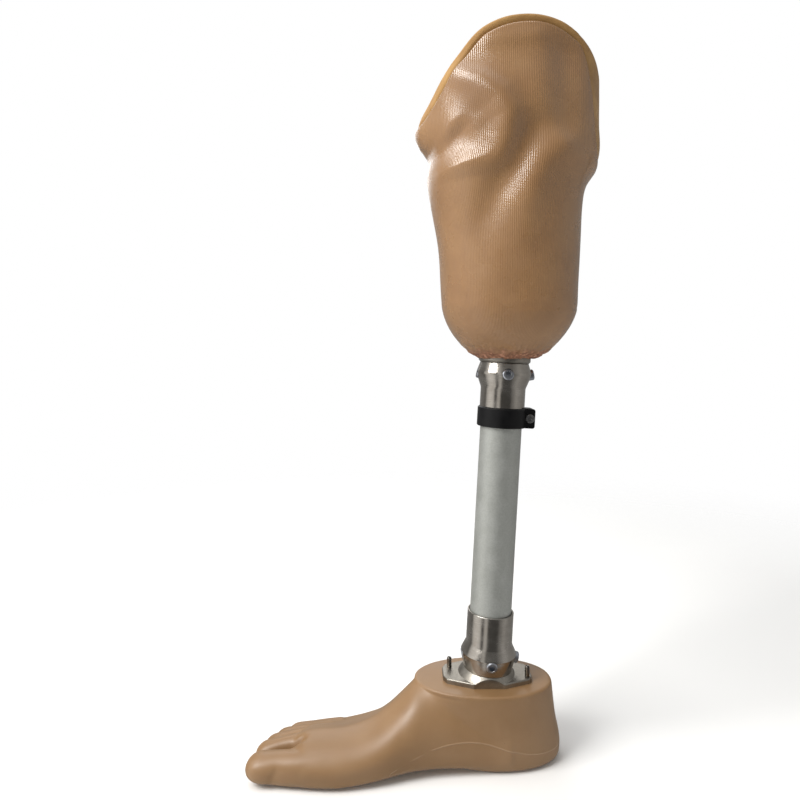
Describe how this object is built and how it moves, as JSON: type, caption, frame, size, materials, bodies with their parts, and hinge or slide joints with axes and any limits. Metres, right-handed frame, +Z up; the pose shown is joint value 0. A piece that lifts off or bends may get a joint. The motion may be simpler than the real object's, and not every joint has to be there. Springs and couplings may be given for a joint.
{
  "type": "below-knee prosthetic leg",
  "caption": "Right below-knee modular prosthesis: laminated cuff-style socket with foam liner, pyramid adapters, clamped aluminium pylon and a foam foot with toes.",
  "frame": {"origin": "on the floor, on the axis of the foot bolt under the ankle", "axes": "+Z up, toes towards -X, inner (medial) side of the leg towards -Y"},
  "size_m": [0.2475, 0.109, 0.5131],
  "materials": {
    "laminate": "glossy acrylic laminate over a knitted stockinette",
    "liner_foam": "soft closed-cell foam, matt",
    "pad_foam": "soft closed-cell foam, matt",
    "rigid_foam": "rigid foam",
    "foot_skin": "moulded polyurethane foam with a smooth satin skin",
    "heel_foam": "soft cellular rubber",
    "keel_wood": "hard maple, sealed",
    "belting": "woven belting",
    "stainless_cast": "investment cast stainless steel, satin blasted",
    "stainless_turned": "turned stainless steel, polished",
    "anodised_tube": "fine satin anodised",
    "black_band": "black oxide, semi-gloss",
    "black_screw": "black oxide",
    "set_screw_steel": "hardened steel, bright",
    "spring_steel": "rolled spring steel",
    "zinc_steel": "zinc plated steel"
  },
  "bodies": {
    "foot": {"foot_foam": "foot_skin", "keel": "keel_wood", "heel_cushion": "heel_foam", "toe_belting": "belting", "foot_adapter": "stainless_cast", "front_spring_pin": "spring_steel", "rear_spring_pin": "spring_steel", "foot_bolt": "zinc_steel", "lock_washer": "zinc_steel", "flat_washer": "zinc_steel"},
    "toes": {"forefoot_foam": "foot_skin"},
    "shank": {"tube_adapter": "stainless_turned", "pylon_tube": "anodised_tube"},
    "clamp": {"clamp_band": "black_band", "clamp_screw": "black_screw", "clamp_nut": "zinc_steel"},
    "upper_receiver": {"clamp_adapter": "stainless_turned"},
    "socket": {"socket_anchor": "stainless_cast", "socket_shell": "laminate", "foam_liner": "liner_foam", "distal_filler": "rigid_foam", "distal_end_pad": "pad_foam"},
    "lower_screw_anterior": {"lower_screw_anterior": "set_screw_steel"},
    "lower_screw_posterior": {"lower_screw_posterior": "set_screw_steel"},
    "lower_screw_medial": {"lower_screw_medial": "set_screw_steel"},
    "lower_screw_lateral": {"lower_screw_lateral": "set_screw_steel"},
    "upper_screw_anterior": {"upper_screw_anterior": "set_screw_steel"},
    "upper_screw_posterior": {"upper_screw_posterior": "set_screw_steel"},
    "upper_screw_medial": {"upper_screw_medial": "set_screw_steel"},
    "upper_screw_lateral": {"upper_screw_lateral": "set_screw_steel"}
  },
  "joints": [
    {"name": "toe_flex", "type": "hinge", "parent": "foot", "child": "toes", "pos_m": [-0.112, 0, 0.012], "axis": [0, 1, 0], "range_deg": [0, 25], "stiffness_Nm_per_rad": 1.5},
    {"name": "ankle_tilt", "type": "hinge", "parent": "foot", "child": "shank", "pos_m": [0, 0, 0.0444], "axis": [0, 1, 0], "range_deg": [-10.2, 3.8]},
    {"name": "pylon_height", "type": "slide", "parent": "shank", "child": "clamp", "axis": [0.0558, 0, 0.9984], "range_m": [0, 0.01]},
    {"name": "toe_out_turn", "type": "hinge", "parent": "clamp", "child": "upper_receiver", "pos_m": [0.01116, 0, 0.24409], "axis": [0.0558, 0, 0.9984], "range_deg": [-20, 20]},
    {"name": "socket_tilt", "type": "hinge", "parent": "upper_receiver", "child": "socket", "pos_m": [0.01429, 0, 0.3], "axis": [0.9984, 0, -0.0558], "range_deg": [-7, 7]},
    {"name": "lower_screw_anterior_slide", "type": "slide", "parent": "shank", "child": "lower_screw_anterior", "axis": [-0.9863, 0, -0.1647], "range_m": [-0.0052, 0.0021]},
    {"name": "lower_screw_posterior_slide", "type": "slide", "parent": "shank", "child": "lower_screw_posterior", "axis": [0.9618, 0, -0.2736], "range_m": [-0.0021, 0.0052]},
    {"name": "lower_screw_medial_slide", "type": "slide", "parent": "shank", "child": "lower_screw_medial", "axis": [-0.0123, -0.9756, -0.2192], "range_m": [0, 0.003]},
    {"name": "lower_screw_lateral_slide", "type": "slide", "parent": "shank", "child": "lower_screw_lateral", "axis": [-0.0123, 0.9756, -0.2192], "range_m": [0, 0.003]},
    {"name": "upper_screw_anterior_slide", "type": "slide", "parent": "upper_receiver", "child": "upper_screw_anterior", "axis": [-0.9618, 0, 0.2736], "range_m": [0, 0.003]},
    {"name": "upper_screw_posterior_slide", "type": "slide", "parent": "upper_receiver", "child": "upper_screw_posterior", "axis": [0.9863, 0, 0.1647], "range_m": [0, 0.003]},
    {"name": "upper_screw_medial_slide", "type": "slide", "parent": "upper_receiver", "child": "upper_screw_medial", "axis": [0.0123, -0.9756, 0.2192], "range_m": [-0.0037, 0.0037]},
    {"name": "upper_screw_lateral_slide", "type": "slide", "parent": "upper_receiver", "child": "upper_screw_lateral", "axis": [0.0123, 0.9756, 0.2192], "range_m": [-0.0037, 0.0037]}
  ],
  "couplings": [
    {"joint": "lower_screw_anterior_slide", "follows": "ankle_tilt", "m_per_rad": 0.0278},
    {"joint": "lower_screw_posterior_slide", "follows": "ankle_tilt", "m_per_rad": -0.0278},
    {"joint": "upper_screw_medial_slide", "follows": "socket_tilt", "m_per_rad": -0.0278},
    {"joint": "upper_screw_lateral_slide", "follows": "socket_tilt", "m_per_rad": 0.0278}
  ]
}
